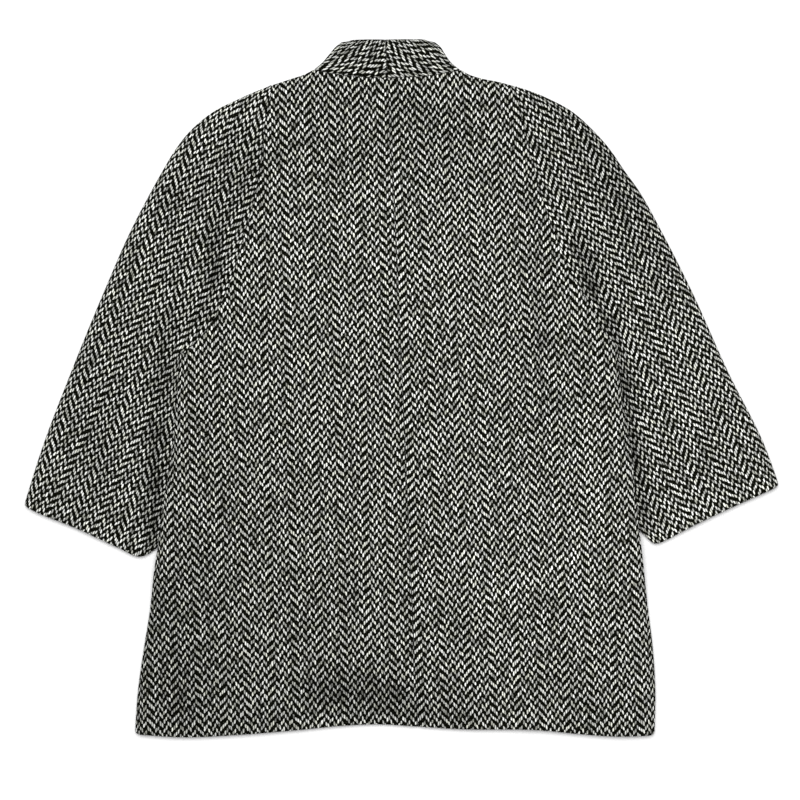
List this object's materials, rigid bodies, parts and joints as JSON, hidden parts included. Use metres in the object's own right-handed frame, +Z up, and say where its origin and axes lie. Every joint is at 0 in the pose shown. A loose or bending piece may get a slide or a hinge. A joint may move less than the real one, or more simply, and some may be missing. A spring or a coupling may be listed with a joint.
{
  "type": "tweed coat",
  "caption": "Heavy herringbone tweed swing coat laid flat on its front, with a band collar, a centre back seam and wide sleeves set in on a slant.",
  "frame": {"origin": "centre of the coat's outline, at the surface it lies on", "axes": "+X across the coat towards the wearer's right, +Y from hem to collar, +Z up off the surface"},
  "size_m": [0.9442, 0.8733, 0.0202],
  "materials": {
    "tweed": "matt napped wool"
  },
  "bodies": {
    "root": {"back_left": "tweed", "back_right": "tweed", "front_left": "tweed", "front_right": "tweed", "sleeve_left_back": "tweed", "sleeve_left_front": "tweed", "sleeve_right_back": "tweed", "sleeve_right_front": "tweed", "collar_left": "tweed", "collar_right": "tweed"}
  },
  "joints": []
}
